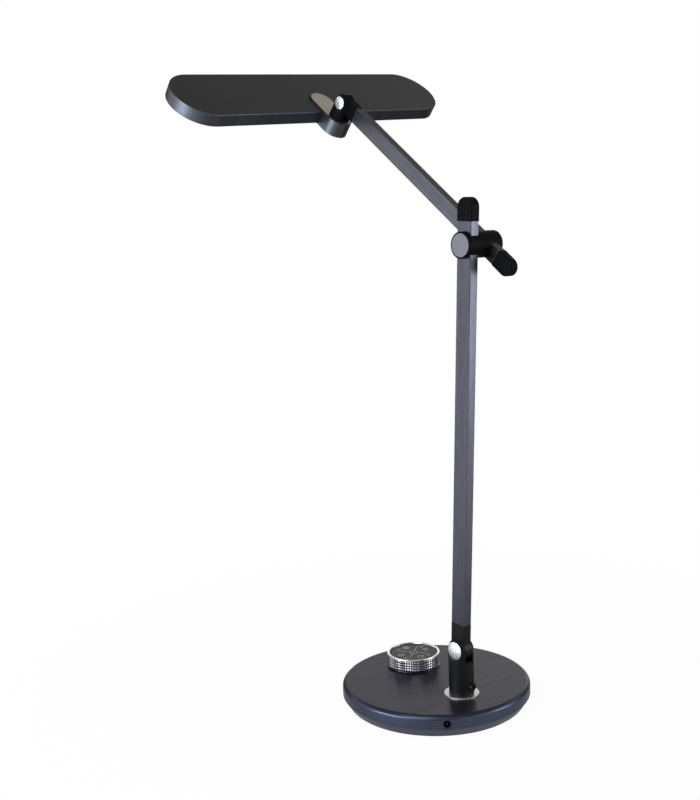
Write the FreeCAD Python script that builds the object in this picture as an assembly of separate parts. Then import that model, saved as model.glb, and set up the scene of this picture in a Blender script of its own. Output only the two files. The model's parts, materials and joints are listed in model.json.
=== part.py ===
import FreeCAD, Part
import math
import os

# Desk lamp: a weighted round base with a dimmer knob, a post that swivels on it, two flat
# aluminium arms that cross in a friction joint, and a long light head on a small post of
# its own. Millimetres. +Z is up, the origin is the middle of the base on the desk, and the
# user sits on the -Y side.

V = FreeCAD.Vector

# How the lamp stands as drawn, in degrees. Every hinge turns about its own X axis.
post_swivel = 11.6
arm_lean = -2.8
arm_fold = 56.2
head_tilt = -93.1
head_swivel = 5.0

# Small gaps and running fits
running_gap = 0.05
slip_gap = 0.1
loose_gap = 0.3

# How far a cutting shape runs past the face it cuts
cut_past = 1.0

# Base: a shell with a bevelled top edge and an undercut, a cast weight, a closing plate
# and a soft pad
base_radius = 110.0
base_height = 27.0
edge_bevel = 3.5
undercut_inset = 7.0
undercut_height = 12.0
cover_wall = 3.0
pad_thickness = 1.5
pad_inset = 2.0
plate_thickness = 2.0
plate_inset = 4.0
weight_inset = 6.0
weight_thickness = 12.0
base_screw_radius = 2.0
base_screw_head = 4.0
base_screw_inset = 32.0
base_screw_count = 4
base_boss_radius = 5.0
base_screw_grip = 6.0

# Power inlet in the rim of the base
jack_angle = 63.8
jack_height = 17.3
jack_width = 9.0
jack_tall = 9.0
jack_depth = 13.0
jack_nose_radius = 4.2
jack_bore_radius = 3.1
jack_bore_depth = 9.5
jack_pin_radius = 1.0
jack_pin_setback = 1.0
jack_recess_radius = 5.2
jack_recess_depth = 1.0

# Dimmer knob: a ring that turns on a fixed hub, round a touch panel
knob_inset = 60.0
knob_radius = 31.75
knob_top = 43.75
knob_lift = 1.0
knob_edge = 0.5
hub_radius = 26.3
hub_wall = 2.0
hub_flange_radius = 30.0
hub_flange_thickness = 0.7
hub_stem_radius = 9.0
hub_stem_bore = 6.0
hub_stem_length = 6.6
hub_nut_flats = 24.0
hub_nut_thickness = 3.5
panel_radius = 28.2
panel_thickness = 1.7
panel_recess = 1.45
panel_edge = 0.3
panel_step = 0.4
touch_board_thickness = 1.2
magnet_inner_radius = 27.4
magnet_outer_radius = 30.2
magnet_height = 2.0

# Circuit board under the knob
board_length = 56.0
board_width = 44.0
board_thickness = 1.6
board_rise = 2.0
standoff_radius = 2.5
standoff_inset = 4.0
chip_size = 9.0
chip_height = 1.2
coil_radius = 4.0
coil_height = 3.2
plug_length = 12.0
plug_width = 5.0
plug_height = 4.0

# Swivel through the base
post_inset = 55.5
collar_radius = 20.1
collar_height = 1.3
collar_edge = 0.5
spindle_radius = 8.0
spindle_bore = 3.5
spindle_above = 18.0
spindle_below = 14.5
bush_wall = 2.0
bush_flange = 6.0
bush_flange_thickness = 1.5
spring_washer_radius = 13.0
spring_washer_thickness = 1.4
spindle_nut_flats = 22.0
spindle_nut_thickness = 6.0
weight_well_radius = 17.0

# Post with a forked top that carries the lower arm
post_radius = 14.3
pivot_height = 80.0
pivot_face = 10.2
pivot_lobe_radius = 13.1
pivot_pin_radius = 3.5
pivot_cap_radius = 10.1
pivot_cap_dome = 2.6
pocket_rim = 0.4
slot_mouth = 4.0
clamp_boss_radius = 4.6
clamp_boss_reach = 2.4
clamp_boss_rise = 9.4
clamp_boss_turn = 10.0
clamp_screw_radius = 2.5
clamp_screw_setback = 1.7
clamp_screw_flats = 2.5
clamp_screw_hex_depth = 2.0
friction_washer_radius = 10.5
friction_washer_thickness = 0.4

# Lower arm
lower_width = 20.0
lower_depth = 11.4
lower_wall = 1.5
lower_bevel = 0.6
knuckle_rise = 31.0
spigot_length = 30.0
wire_bore = 2.0
wire_offset = 6.0
flush_step = 0.1
elbow_distance = 450.6
arm_overshoot = 24.4
lower_cap_length = 24.7
cap_plug_length = 9.0
cap_edge = 1.5
cap_step = 0.6

# Upper arm, which passes the lower arm on its left
arm_spacing = 26.0
upper_width = 18.0
upper_depth = 9.5
upper_wall = 1.2
upper_bevel = 0.5
head_distance = 275.3
upper_knuckle_length = 26.0
upper_cap_length = 25.4

# Crossing joint: two round housings on one bolt
housing_radius = 14.1
housing_front = 11.4
housing_split = 13.2
housing_back = 13.1
housing_edge = 0.6
disc_radius = 12.2
disc_thickness = 0.9
bolt_radius = 4.0
bolt_head_radius = 7.5
bolt_head_thickness = 2.8
bolt_nut_flats = 13.0
bolt_nut_thickness = 3.0
nut_pocket_radius = 9.0
nut_pocket_depth = 4.5
joint_washer_radius = 12.5
joint_washer_thickness = 0.6
joint_spring_thickness = 0.7
insert_length = 30.0

# Small forked post that carries the light head
head_post_radius = 11.7
head_post_foot = 12.6
head_pin_height = 20.4
head_face = 9.3
head_lobe_radius = 10.5
head_pin_radius = 3.0
head_cap_radius = 7.5
head_cap_dome = 1.8
head_washer_radius = 9.0
head_washer_thickness = 0.3
head_post_floor = 3.2
head_stub_radius = 5.0
head_stub_length = 13.4
head_nut_flats = 12.0
head_nut_thickness = 4.4
head_nut_washer = 0.8

# Pod under the small post: a long cup with a cover plate
pod_half_width = 16.0
pod_reach = 34.5
pod_proud = 1.6
pod_height = 18.2
pod_wall = 1.6
pod_rim = 1.5
pod_plate_thickness = 1.2
pod_plate_recess = 0.2
pod_pillar_radius = 12.0
pod_bearing_height = 5.6
pod_plug_thickness = 1.1
pod_plug_rim = 0.8
pod_flange = 7.0
pod_flange_thickness = 1.5
flange_screw_angles = (-60, 0, 60)

# Light head: a long shell with round ends
head_length = 410.0
head_width = 78.0
head_thickness = 14.6
head_setback = 51.5
head_wall = 1.6
head_top = 1.8
head_edge = 0.4
frame_wall = 1.2
diffuser_thickness = 2.0
diffuser_recess = 0.4
led_board_margin = 4.0
led_board_thickness = 1.5
led_length = 3.5
led_width = 2.8
led_height = 0.8
led_rows = 2
led_columns = 25
led_pitch = 14.4
led_row_spacing = 34.0
small_screw_radius = 1.2
small_screw_head = 2.4
small_screw_head_height = 1.2
small_screw_bite = 1.3
board_screw_pitch = 70.0
board_screw_pairs = 2

# Places on the base, each at its own distance from the rim
undercut_radius = base_radius - undercut_inset
base_screw_circle = base_radius - base_screw_inset
knob_distance = base_radius - knob_inset
post_setback = base_radius - post_inset

# Half widths of the fork slots, which the blocks above the lobes swing through
pivot_slot = lower_depth / 2 + flush_step + loose_gap
head_slot = upper_depth / 2 + flush_step + loose_gap


def cylinder(radius, low, high, x=0.0, y=0.0):
    """Round bar along Z."""
    return Part.makeCylinder(radius, high - low, V(x, y, low))


def cross_cylinder(radius, low, high, y=0.0, z=0.0):
    """Round bar along X."""
    return Part.makeCylinder(radius, high - low, V(low, y, z), V(1, 0, 0))


def ring(outer, inner, low, high, x=0.0, y=0.0):
    """Washer or sleeve along Z."""
    return cylinder(outer, low, high, x, y).cut(cylinder(inner, low, high, x, y))


def cross_ring(outer, inner, low, high, y=0.0, z=0.0):
    """Washer or sleeve along X."""
    return cross_cylinder(outer, low, high, y, z).cut(cross_cylinder(inner, low, high, y, z))


def block(x_low, x_high, y_low, y_high, z_low, z_high):
    """Rectangular block between six planes."""
    size = (x_high - x_low, y_high - y_low, z_high - z_low)
    return Part.makeBox(size[0], size[1], size[2], V(x_low, y_low, z_low))


def extrude(points, direction):
    """Prism from a closed outline of straight sides."""
    wire = Part.makePolygon(points + points[:1])
    return Part.Face(wire).extrude(direction)


def hexagon(flats, low, high, x=0.0, y=0.0):
    """Hexagonal nut blank along Z, without its hole."""
    corner = flats / 2 / math.cos(math.pi / 6)
    angles = [math.radians(60 * step) for step in range(6)]
    points = [V(x + corner * math.cos(a), y + corner * math.sin(a), low) for a in angles]
    return extrude(points, V(0, 0, high - low))


def cross_hexagon(flats, low, high, z=0.0):
    """Hexagonal nut blank along X, without its hole."""
    corner = flats / 2 / math.cos(math.pi / 6)
    angles = [math.radians(60 * step) for step in range(6)]
    points = [V(low, corner * math.cos(a), z + corner * math.sin(a)) for a in angles]
    return extrude(points, V(high - low, 0, 0))


def turned(points):
    """Solid turned about Z from an outline of (radius, height) points."""
    outline = [V(radius, 0, height) for radius, height in points]
    wire = Part.makePolygon(outline + outline[:1])
    return Part.Face(wire).revolve(V(0, 0, 0), V(0, 0, 1), 360)


def capsule(radius, start, end, low, high):
    """Upright prism with straight sides and round ends, about two centres in plan."""
    a = V(start[0], start[1], low)
    b = V(end[0], end[1], low)
    along = b.sub(a).normalize()
    side = V(-along.y, along.x, 0).multiply(radius)
    reach = V(along.x, along.y, 0).multiply(radius)
    edges = [
        Part.LineSegment(a.add(side), b.add(side)).toShape(),
        Part.Arc(b.add(side), b.add(reach), b.sub(side)).toShape(),
        Part.LineSegment(b.sub(side), a.sub(side)).toShape(),
        Part.Arc(a.sub(side), a.sub(reach), a.add(side)).toShape(),
    ]
    return Part.Face(Part.Wire(edges)).extrude(V(0, 0, high - low))


def bar(depth, width, bevel, low, high, x=0.0):
    """Flat bar along Z, depth along X and width along Y, with bevelled long edges."""
    half_x = depth / 2
    half_y = width / 2
    corners = [
        (half_x - bevel, -half_y),
        (half_x, -half_y + bevel),
        (half_x, half_y - bevel),
        (half_x - bevel, half_y),
        (-half_x + bevel, half_y),
        (-half_x, half_y - bevel),
        (-half_x, -half_y + bevel),
        (-half_x + bevel, -half_y),
    ]
    return extrude([V(x + px, py, low) for px, py in corners], V(0, 0, high - low))


def plain_bar(depth, width, low, high, x=0.0):
    """Flat bar along Z with square edges."""
    return block(x - depth / 2, x + depth / 2, -width / 2, width / 2, low, high)


def flat_edges(shape, axis, value):
    """Edges of a shape that lie in the plane axis = value."""
    found = []
    for edge in shape.Edges:
        box = edge.BoundBox
        low = getattr(box, axis + "Min")
        high = getattr(box, axis + "Max")
        if abs(low - value) < 0.01 and abs(high - value) < 0.01:
            found.append(edge)
    return found


def bevelled(shape, size, axis, value):
    """The shape with the edges of one flat end bevelled."""
    return shape.makeChamfer(size, flat_edges(shape, axis, value))


def group(solids):
    """Several separate solids kept as one sub-part."""
    return Part.makeCompound(solids)


def domed_cap(radius, dome, face, outward, z=0.0):
    """Domed pin cover along X that stands on the plane x = face."""
    sphere_radius = (radius * radius + dome * dome) / (2 * dome)
    middle = face + outward * (dome - sphere_radius)
    sphere = Part.makeSphere(sphere_radius, V(middle, 0, z))
    low = min(face, face + outward * 2 * dome)
    return sphere.common(cross_cylinder(radius, low, low + 2 * dome, 0, z))


def screw_places():
    """Plan positions of the screws that close the base."""
    step = 360.0 / base_screw_count
    angles = [math.radians(step / 2 + step * number) for number in range(base_screw_count)]
    return [(base_screw_circle * math.cos(a), base_screw_circle * math.sin(a)) for a in angles]


# Frames of the moving groups, each carried by the one before it
swivel_frame = FreeCAD.Placement(V(0, post_setback, 0), FreeCAD.Rotation(V(0, 0, 1), post_swivel))
lower_frame = swivel_frame.multiply(
    FreeCAD.Placement(V(0, 0, pivot_height), FreeCAD.Rotation(V(1, 0, 0), arm_lean))
)
upper_frame = lower_frame.multiply(
    FreeCAD.Placement(V(0, 0, elbow_distance), FreeCAD.Rotation(V(1, 0, 0), arm_fold))
)
tilt_frame = upper_frame.multiply(
    FreeCAD.Placement(V(-arm_spacing, 0, head_distance), FreeCAD.Rotation(V(1, 0, 0), head_tilt))
)
head_frame = tilt_frame.multiply(
    FreeCAD.Placement(V(0, 0, 0), FreeCAD.Rotation(V(0, 0, 1), head_swivel))
)
base_frame = FreeCAD.Placement()
jack_frame = FreeCAD.Placement(V(0, 0, 0), FreeCAD.Rotation(V(0, 0, 1), jack_angle))

# Heights inside the base
plate_top = pad_thickness + plate_thickness
weight_top = plate_top + weight_thickness
cover_inside = base_height - cover_wall
jack_front = base_radius - cover_wall - loose_gap
jack_back = jack_front - jack_depth
jack_mouth = base_radius - jack_recess_depth
jack_floor = jack_height - jack_tall / 2
weight_radius = undercut_radius - weight_inset
board_low = weight_top + board_rise
board_high = board_low + board_thickness
spindle_low = base_height - spindle_below
bush_radius = spindle_radius + bush_wall
bush_low = cover_inside - bush_flange_thickness


def base_cover():
    """Turned shell of the base, open below, with screw bosses under its top."""
    body = turned([
        (0, pad_thickness),
        (undercut_radius, pad_thickness),
        (base_radius, undercut_height),
        (base_radius, base_height - edge_bevel),
        (base_radius - edge_bevel, base_height),
        (0, base_height),
    ])
    underside = [face for face in body.Faces if face.BoundBox.ZMax < pad_thickness + 0.01]
    shell = body.makeThickness(underside, -cover_wall, 0.001)
    for x, y in screw_places():
        shell = shell.fuse(cylinder(base_boss_radius, weight_top, cover_inside, x, y))
    for x, y in screw_places():
        shell = shell.cut(cylinder(base_screw_radius, weight_top, weight_top + base_screw_grip, x, y))
    shell = shell.cut(cylinder(bush_radius, bush_low, base_height + cut_past, 0, post_setback))
    stem_hole = cylinder(hub_stem_radius + slip_gap, bush_low, base_height + cut_past, 0, -knob_distance)
    shell = shell.cut(stem_hole)
    hole = cross_cylinder(jack_nose_radius + slip_gap, jack_back, base_radius + cut_past, 0, jack_height)
    recess = cross_cylinder(jack_recess_radius, jack_mouth, base_radius + cut_past, 0, jack_height)
    inlet = hole.fuse(recess)
    inlet.Placement = jack_frame
    return shell.cut(inlet).removeSplitter()


def base_weight():
    """Cast slab with a well for the swivel, a notch for the inlet and screw holes."""
    slab = cylinder(weight_radius, plate_top, weight_top)
    slab = slab.cut(cylinder(weight_well_radius, plate_top, weight_top, 0, post_setback))
    for x, y in screw_places():
        slab = slab.cut(cylinder(base_screw_radius + slip_gap, plate_top, weight_top, x, y))
    half = jack_width / 2 + loose_gap
    back = jack_back - loose_gap
    notch = block(back, weight_radius + cut_past, -half, half, jack_floor, weight_top + cut_past)
    notch.Placement = jack_frame
    return slab.cut(notch)


def bottom_plate():
    """Plate that closes the base, countersunk for its screws."""
    plate = cylinder(undercut_radius - plate_inset, pad_thickness, plate_top)
    for x, y in screw_places():
        sink = Part.makeCone(base_screw_head, base_screw_radius, plate_thickness, V(x, y, pad_thickness))
        plate = plate.cut(sink)
    return plate


def base_screws():
    """Countersunk screws from the plate through the weight into the cover."""
    screws = []
    for x, y in screw_places():
        head = Part.makeCone(base_screw_head, base_screw_radius, plate_thickness, V(x, y, pad_thickness))
        shank = cylinder(base_screw_radius, plate_top, weight_top + base_screw_grip, x, y)
        screws.append(head.fuse(shank))
    return group(screws)


def foot_pad():
    """Soft pad the lamp stands on."""
    return cylinder(undercut_radius - pad_inset, 0, pad_thickness)


def dc_jack():
    """Moulded barrel jack whose nose fills the hole in the rim."""
    half = jack_width / 2
    body = block(jack_back, jack_front, -half, half, jack_floor, jack_floor + jack_tall)
    nose = cross_cylinder(jack_nose_radius, jack_front - cut_past, jack_mouth, 0, jack_height)
    bore_end = jack_mouth - jack_bore_depth
    bore = cross_cylinder(jack_bore_radius, bore_end, jack_mouth + cut_past, 0, jack_height)
    return body.fuse(nose).cut(bore).removeSplitter()


def dc_jack_pin():
    """Centre contact of the barrel jack."""
    low = jack_mouth - jack_bore_depth
    return cross_cylinder(jack_pin_radius, low, jack_mouth - jack_pin_setback, 0, jack_height)


def control_board():
    """Circuit board on its standoffs under the knob."""
    half_x = board_length / 2
    half_y = board_width / 2
    middle = -knob_distance
    return block(-half_x, half_x, middle - half_y, middle + half_y, board_low, board_high)


def board_standoffs():
    """Four round standoffs between the weight and the board."""
    reach_x = board_length / 2 - standoff_inset
    reach_y = board_width / 2 - standoff_inset
    places = [(sx * reach_x, sy * reach_y - knob_distance) for sx in (-1, 1) for sy in (-1, 1)]
    return group([cylinder(standoff_radius, weight_top, board_low, x, y) for x, y in places])


def board_parts():
    """Chip, coil and connector soldered to the board."""
    edge_x = board_length / 2 - standoff_inset
    edge_y = board_width / 2 - standoff_inset
    half = chip_size / 2
    chip = block(-half, half, -half, half, board_high, board_high + chip_height)
    chip.translate(V(0, -knob_distance, 0))
    coil = cylinder(coil_radius, board_high, board_high + coil_height, edge_x, -knob_distance)
    half_length = plug_length / 2
    half_width = plug_width / 2
    plug_top = board_high + plug_height
    plug = block(-half_length, half_length, -half_width, half_width, board_high, plug_top)
    plug.translate(V(0, edge_y - knob_distance, 0))
    return group([chip, coil, plug])


# Heights in the knob
panel_top = knob_top - panel_recess
panel_low = panel_top - panel_thickness
knob_low = base_height + knob_lift
hub_stem_low = base_height - hub_stem_length


def knob_hub():
    """Fixed hub the ring turns on, with a hollow stem through the cover."""
    hub = cylinder(hub_radius, base_height, panel_low)
    hub = hub.fuse(cylinder(hub_flange_radius, base_height, base_height + hub_flange_thickness))
    room = cylinder(hub_radius - hub_wall, base_height + hub_wall, panel_low - hub_wall)
    hub = hub.cut(room)
    hub = hub.fuse(cylinder(hub_stem_radius, hub_stem_low, base_height + hub_wall))
    hub = hub.cut(cylinder(hub_stem_bore, hub_stem_low, base_height + hub_wall))
    hub.translate(V(0, -knob_distance, 0))
    return hub.removeSplitter()


def hub_nut():
    """Nut that clamps the hub to the cover."""
    nut = hexagon(hub_nut_flats, cover_inside - hub_nut_thickness, cover_inside, 0, -knob_distance)
    hole = cylinder(hub_stem_radius, cover_inside - hub_nut_thickness, cover_inside, 0, -knob_distance)
    return nut.cut(hole)


def touch_board():
    """Touch sensor board under the top of the hub."""
    high = panel_low - hub_wall
    radius = hub_radius - hub_wall - slip_gap
    return cylinder(radius, high - touch_board_thickness, high, 0, -knob_distance)


def touch_panel():
    """Round control panel set inside the ring."""
    panel = bevelled(cylinder(panel_radius, panel_low, panel_top), panel_edge, "Z", panel_top)
    panel.translate(V(0, -knob_distance, 0))
    return panel


def knob_ring():
    """Turning ring with a stepped bore: it runs on the hub and clears the panel."""
    body = cylinder(knob_radius, knob_low, knob_top)
    body = bevelled(body, knob_edge, "Z", knob_top)
    body = bevelled(body, knob_edge, "Z", knob_low)
    body = body.cut(cylinder(hub_radius + running_gap, knob_low, knob_top))
    body = body.cut(cylinder(panel_radius + panel_step, panel_low - panel_step, knob_top))
    groove = ring(magnet_outer_radius, magnet_inner_radius, knob_low, knob_low + magnet_height)
    body = body.cut(groove)
    body.translate(V(0, -knob_distance, 0))
    return body


def encoder_magnet():
    """Ring magnet in the foot of the knob, read by a sensor below it."""
    high = knob_low + magnet_height
    return ring(magnet_outer_radius, magnet_inner_radius, knob_low, high, 0, -knob_distance)


def swivel_collar():
    """Bright collar plate the post stands on."""
    high = base_height + collar_height
    body = bevelled(cylinder(collar_radius, base_height, high), collar_edge, "Z", high)
    body = body.cut(cylinder(spindle_radius + loose_gap, base_height, high))
    body.translate(V(0, post_setback, 0))
    return body


def swivel_bush():
    """Flanged bush in the cover that the spindle turns in."""
    body = cylinder(bush_radius, bush_low, base_height)
    body = body.fuse(cylinder(bush_radius + bush_flange, bush_low, cover_inside))
    body = body.cut(cylinder(spindle_radius + running_gap, bush_low, base_height))
    body.translate(V(0, post_setback, 0))
    return body


# Levels of the swivelling post, in its own frame
post_low = base_height + collar_height
spindle_high = post_low + spindle_above
spring_high = bush_low
spring_low = spring_high - spring_washer_thickness
post_nut_low = spring_low - spindle_nut_thickness


def fork(foot, radius, low, pin_level, face, slot, cap_radius, lobe):
    """Round post with a domed, forked top about a cross pin, and flats for the pin's caps."""
    half = radius * math.sqrt(0.5)
    side = Part.makePolygon([V(0, 0, low), V(foot, 0, low), V(radius, 0, pin_level)])
    top = V(0, 0, pin_level + radius)
    dome = Part.Arc(V(radius, 0, pin_level), V(half, 0, pin_level + half), top).toShape()
    middle = Part.LineSegment(top, V(0, 0, low)).toShape()
    outline = Part.Wire(side.Edges + [dome, middle])
    post = Part.Face(outline).revolve(V(0, 0, 0), V(0, 0, 1), 360)
    reach = foot + cut_past
    for side in (-1, 1):
        near = min(side * face, side * reach)
        far = max(side * face, side * reach)
        pocket = cross_cylinder(cap_radius + pocket_rim, near, far, 0, pin_level)
        above = block(near, far, -reach, reach, pin_level, pin_level + reach)
        post = post.cut(pocket.fuse(above))
    floor = pin_level - lobe - loose_gap
    return post.cut(block(-slot, slot, -reach, reach, floor, pin_level + reach)).removeSplitter()


def clamp_turned(shape):
    """Shape on the +Y side of the post, turned to where its clamp screw sits."""
    shape.rotate(V(0, 0, 0), V(0, 0, 1), clamp_boss_turn)
    return shape


def post():
    """Moulded post: fork on top, bore for the spindle, boss for the clamp screw."""
    body = fork(post_radius, post_radius, post_low, pivot_height, pivot_face, pivot_slot,
                pivot_cap_radius, pivot_lobe_radius)
    floor = pivot_height - pivot_lobe_radius - loose_gap
    back = post_radius + cut_past
    mouth = [V(-pivot_slot, back, floor), V(-pivot_slot, back - slot_mouth, floor)]
    mouth.append(V(-pivot_slot, back, floor - slot_mouth))
    body = body.cut(extrude(mouth, V(2 * pivot_slot, 0, 0)))
    level = post_low + clamp_boss_rise
    reach = post_radius + clamp_boss_reach
    start = V(0, spindle_radius, level)
    boss = Part.makeCylinder(clamp_boss_radius, reach - spindle_radius, start, V(0, 1, 0))
    body = body.fuse(clamp_turned(boss))
    body = body.cut(cylinder(spindle_radius, post_low, spindle_high))
    body = body.cut(cylinder(spindle_bore, spindle_high, pivot_height))
    hole = Part.makeCylinder(clamp_screw_radius, reach, V(0, 0, level), V(0, 1, 0))
    body = body.cut(clamp_turned(hole))
    return body.cut(cross_cylinder(pivot_pin_radius, -post_radius, post_radius, 0, pivot_height))


def post_spindle():
    """Hollow steel spindle from the post down through the base."""
    return ring(spindle_radius, spindle_bore, spindle_low, spindle_high)


def spindle_washer():
    """Sprung washer that gives the swivel its friction."""
    return ring(spring_washer_radius, spindle_radius + slip_gap, spring_low, spring_high)


def spindle_nut():
    """Nut that holds the spindle down."""
    nut = hexagon(spindle_nut_flats, post_nut_low, spring_low)
    return nut.cut(cylinder(spindle_radius, post_nut_low, spring_low))


def post_clamp_screw():
    """Set screw that locks the post to the spindle."""
    level = post_low + clamp_boss_rise
    high = post_radius + clamp_boss_reach - clamp_screw_setback
    length = high - spindle_radius
    screw = Part.makeCylinder(clamp_screw_radius, length, V(0, spindle_radius, level), V(0, 1, 0))
    corner = clamp_screw_flats / 2 / math.cos(math.pi / 6)
    angles = [math.radians(60 * step) for step in range(6)]
    low = high - clamp_screw_hex_depth
    points = [V(corner * math.cos(a), low, level + corner * math.sin(a)) for a in angles]
    return clamp_turned(screw.cut(extrude(points, V(0, clamp_screw_hex_depth + cut_past, 0))))


def pivot_pin(radius, face, level):
    """Cross pin of a fork."""
    return cross_cylinder(radius, -face, face, 0, level)


def pivot_caps(radius, dome, face, level):
    """Bright domed covers over both ends of a cross pin."""
    return group([domed_cap(radius, dome, side * face, side, level) for side in (-1, 1)])


def friction_washers(radius, bore, slot, thickness, level):
    """Thin washers on the inner faces of a fork."""
    left = cross_ring(radius, bore, -slot, -slot + thickness, 0, level)
    right = cross_ring(radius, bore, slot - thickness, slot, 0, level)
    return group([left, right])


def knuckle(lobe, thickness, neck, rise, depth, width, bevel, wall, pin_bore):
    """Arm end: a round lobe between the fork's cheeks, a flush block and a plug in the tube."""
    body = cross_cylinder(lobe, -thickness / 2, thickness / 2)
    body = body.fuse(bar(thickness, width + 2 * flush_step, bevel, 0, neck))
    body = body.fuse(bar(depth + 2 * flush_step, width + 2 * flush_step, bevel, neck, rise))
    inner_depth = depth - 2 * wall - 2 * slip_gap
    inner_width = width - 2 * wall - 2 * slip_gap
    body = body.fuse(plain_bar(inner_depth, inner_width, rise, rise + spigot_length))
    body = body.cut(cross_cylinder(pin_bore, -thickness, thickness))
    return body.removeSplitter()


def lower_knuckle():
    """Black end of the lower arm, with a channel for the leads."""
    thickness = 2 * (pivot_slot - friction_washer_thickness - slip_gap)
    neck = friction_washer_radius + loose_gap
    pin_bore = pivot_pin_radius + running_gap
    body = knuckle(pivot_lobe_radius, thickness, neck, knuckle_rise, lower_depth, lower_width,
                   lower_bevel, lower_wall, pin_bore)
    top = knuckle_rise + spigot_length
    return body.cut(cylinder(wire_bore, -pivot_lobe_radius, top, 0, wire_offset))


lower_top = elbow_distance + arm_overshoot


def arm_tube(depth, width, bevel, wall, low, high, x, bolt_hole, bolt_level):
    """Rectangular tube with bevelled edges and a hole for the joint bolt."""
    body = bar(depth, width, bevel, low, high, x)
    body = body.cut(plain_bar(depth - 2 * wall, width - 2 * wall, low, high, x))
    hole = cross_cylinder(bolt_hole, x - depth, x + depth, 0, bolt_level)
    return body.cut(hole)


def lower_tube():
    """Brushed aluminium tube of the lower arm."""
    return arm_tube(lower_depth, lower_width, lower_bevel, lower_wall, knuckle_rise, lower_top,
                    0, bolt_radius, elbow_distance)


def end_cap(depth, width, length, wall, x):
    """Rounded cap for an arm's end, standing on z = 0, with a plug that goes in the tube."""
    half_x = depth / 2 + cap_step
    radius = width / 2 + cap_step
    body = block(x - half_x, x + half_x, -radius, radius, 0, length - radius)
    body = body.fuse(cross_cylinder(radius, x - half_x, x + half_x, 0, length - radius))
    body = body.removeSplitter()
    sides = flat_edges(body, "X", x - half_x) + flat_edges(body, "X", x + half_x)
    body = body.makeFillet(cap_edge, [edge for edge in sides if edge.BoundBox.ZMax > 0.01])
    inner_depth = depth - 2 * wall - 2 * slip_gap
    inner_width = width - 2 * wall - 2 * slip_gap
    return body.fuse(plain_bar(inner_depth, inner_width, -cap_plug_length, 0, x))


def lower_end_cap():
    """Black cap on top of the lower arm."""
    cap = end_cap(lower_depth, lower_width, lower_cap_length, lower_wall, 0)
    cap.translate(V(0, 0, lower_top))
    return cap


def tube_insert(depth, width, wall, bore, x, level):
    """Block inside a tube that keeps the joint bolt from crushing it."""
    inner_depth = depth - 2 * wall - 2 * slip_gap
    inner_width = width - 2 * wall - 2 * slip_gap
    low = level - insert_length / 2
    body = plain_bar(inner_depth, inner_width, low, low + insert_length, x)
    return body.cut(cross_cylinder(bore, x - depth, x + depth, 0, level))


def lower_tube_insert():
    """Insert of the lower arm at the crossing joint."""
    return tube_insert(lower_depth, lower_width, lower_wall, bolt_radius, 0, elbow_distance)


# Stations of the crossing joint along its bolt, positive towards the user's right. The rear
# housing follows the upper arm.
housing_rear = arm_spacing + housing_back
disc_seat = housing_front - disc_thickness - slip_gap
rear_disc_seat = -housing_rear + disc_thickness + slip_gap
bolt_head_low = disc_seat - slip_gap - bolt_head_thickness
nut_seat = rear_disc_seat + nut_pocket_depth
joint_nut_high = nut_seat - joint_spring_thickness - slip_gap
joint_nut_low = joint_nut_high - bolt_nut_thickness
rear_low = -housing_rear
rear_high = -housing_split - joint_washer_thickness


def front_housing():
    """Round housing clamped on the lower arm, in front of the crossing."""
    body = cross_cylinder(housing_radius, -housing_split, housing_front)
    body = bevelled(body, housing_edge, "X", housing_front)
    body = body.cut(cross_cylinder(disc_radius + slip_gap, disc_seat, housing_front + cut_past))
    body = body.cut(cross_cylinder(bolt_head_radius + slip_gap, bolt_head_low, disc_seat))
    body = body.cut(cross_cylinder(bolt_radius, -housing_split, bolt_head_low))
    window = plain_bar(lower_depth + 2 * running_gap, lower_width + 2 * running_gap,
                       -housing_radius, housing_radius)
    body = body.cut(window)
    body.translate(V(0, 0, elbow_distance))
    return body


def joint_disc():
    """Satin disc let into the front housing."""
    return cross_cylinder(disc_radius, disc_seat, disc_seat + disc_thickness, 0, elbow_distance)


def joint_bolt():
    """Bolt both housings hang on."""
    head = cross_cylinder(bolt_head_radius, bolt_head_low, bolt_head_low + bolt_head_thickness)
    shank = cross_cylinder(bolt_radius, joint_nut_low, bolt_head_low)
    body = head.fuse(shank)
    body.translate(V(0, 0, elbow_distance))
    return body


def joint_nut():
    """Lock nut on the joint bolt."""
    nut = cross_hexagon(bolt_nut_flats, joint_nut_low, joint_nut_high)
    nut = nut.cut(cross_cylinder(bolt_radius, joint_nut_low, joint_nut_high))
    nut.translate(V(0, 0, elbow_distance))
    return nut


def joint_spring():
    """Sprung washer under the lock nut."""
    high = joint_nut_high + joint_spring_thickness
    return cross_ring(bolt_head_radius, bolt_radius + slip_gap, joint_nut_high, high, 0, elbow_distance)


def rear_housing():
    """Round housing on the upper arm that turns about the bolt."""
    body = cross_cylinder(housing_radius, rear_low, rear_high)
    body = bevelled(body, housing_edge, "X", rear_low)
    body = body.cut(cross_cylinder(disc_radius + slip_gap, rear_low - cut_past, rear_disc_seat))
    body = body.cut(cross_cylinder(nut_pocket_radius, rear_disc_seat, nut_seat))
    body = body.cut(cross_cylinder(bolt_radius + running_gap, nut_seat, rear_high))
    window = plain_bar(upper_depth + 2 * running_gap, upper_width + 2 * running_gap,
                       -housing_radius, housing_radius, -arm_spacing)
    return body.cut(window)


def rear_disc():
    """Satin disc let into the rear housing."""
    return cross_cylinder(disc_radius, rear_disc_seat - disc_thickness, rear_disc_seat)


def joint_washer():
    """Friction washer between the housings."""
    return cross_ring(joint_washer_radius, bolt_radius + loose_gap, rear_high, -housing_split)


upper_low = -arm_overshoot
upper_high = head_distance - upper_knuckle_length


def upper_tube():
    """Brushed aluminium tube of the upper arm."""
    return arm_tube(upper_depth, upper_width, upper_bevel, upper_wall, upper_low, upper_high,
                    -arm_spacing, bolt_radius + loose_gap, 0)


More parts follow.
